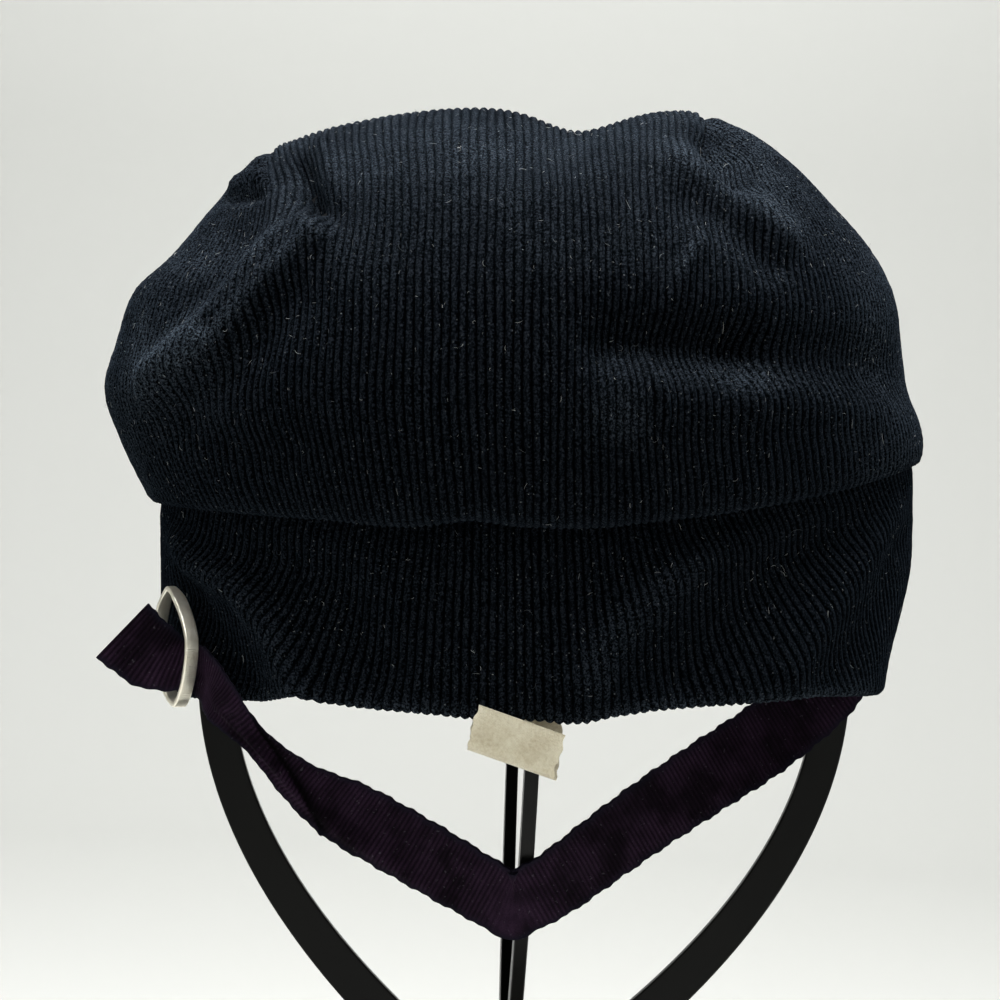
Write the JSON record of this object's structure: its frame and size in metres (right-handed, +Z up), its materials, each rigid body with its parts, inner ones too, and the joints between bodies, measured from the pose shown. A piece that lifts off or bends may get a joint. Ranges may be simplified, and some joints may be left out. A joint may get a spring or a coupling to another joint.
{
  "type": "soft corduroy cap on a crossed-hoop hat stand",
  "caption": "Soft corduroy cap with a puffy crown, a deep folded band and a ribbon chin strap drawn through a metal ring, resting on a black stand of crossed flat hoops.",
  "frame": {"origin": "centre of the stand base's underside, on the floor", "axes": "+Z up, -Y towards the side with the label and the strap's low point, +X to the viewer's right seen from -Y"},
  "size_m": [0.1869, 0.213, 0.3098],
  "materials": {
    "corduroy": "navy-black cotton corduroy with about fourteen rounded ribs to the inch and a soft short pile",
    "ribbon": "dark aubergine grosgrain ribbon with fine ribs across its width",
    "ring_metal": "pale champagne plated metal, satin",
    "label_tape": "bare cream woven cotton tape",
    "stand_black": "satin black sheet with smooth lit edges"
  },
  "bodies": {
    "root": {"crown": "corduroy", "band": "corduroy", "chin_strap": "ribbon", "strap_ring": "ring_metal", "label": "label_tape", "side_hoop": "stand_black", "cross_hoop": "stand_black", "stand_base": "stand_black"}
  },
  "joints": []
}
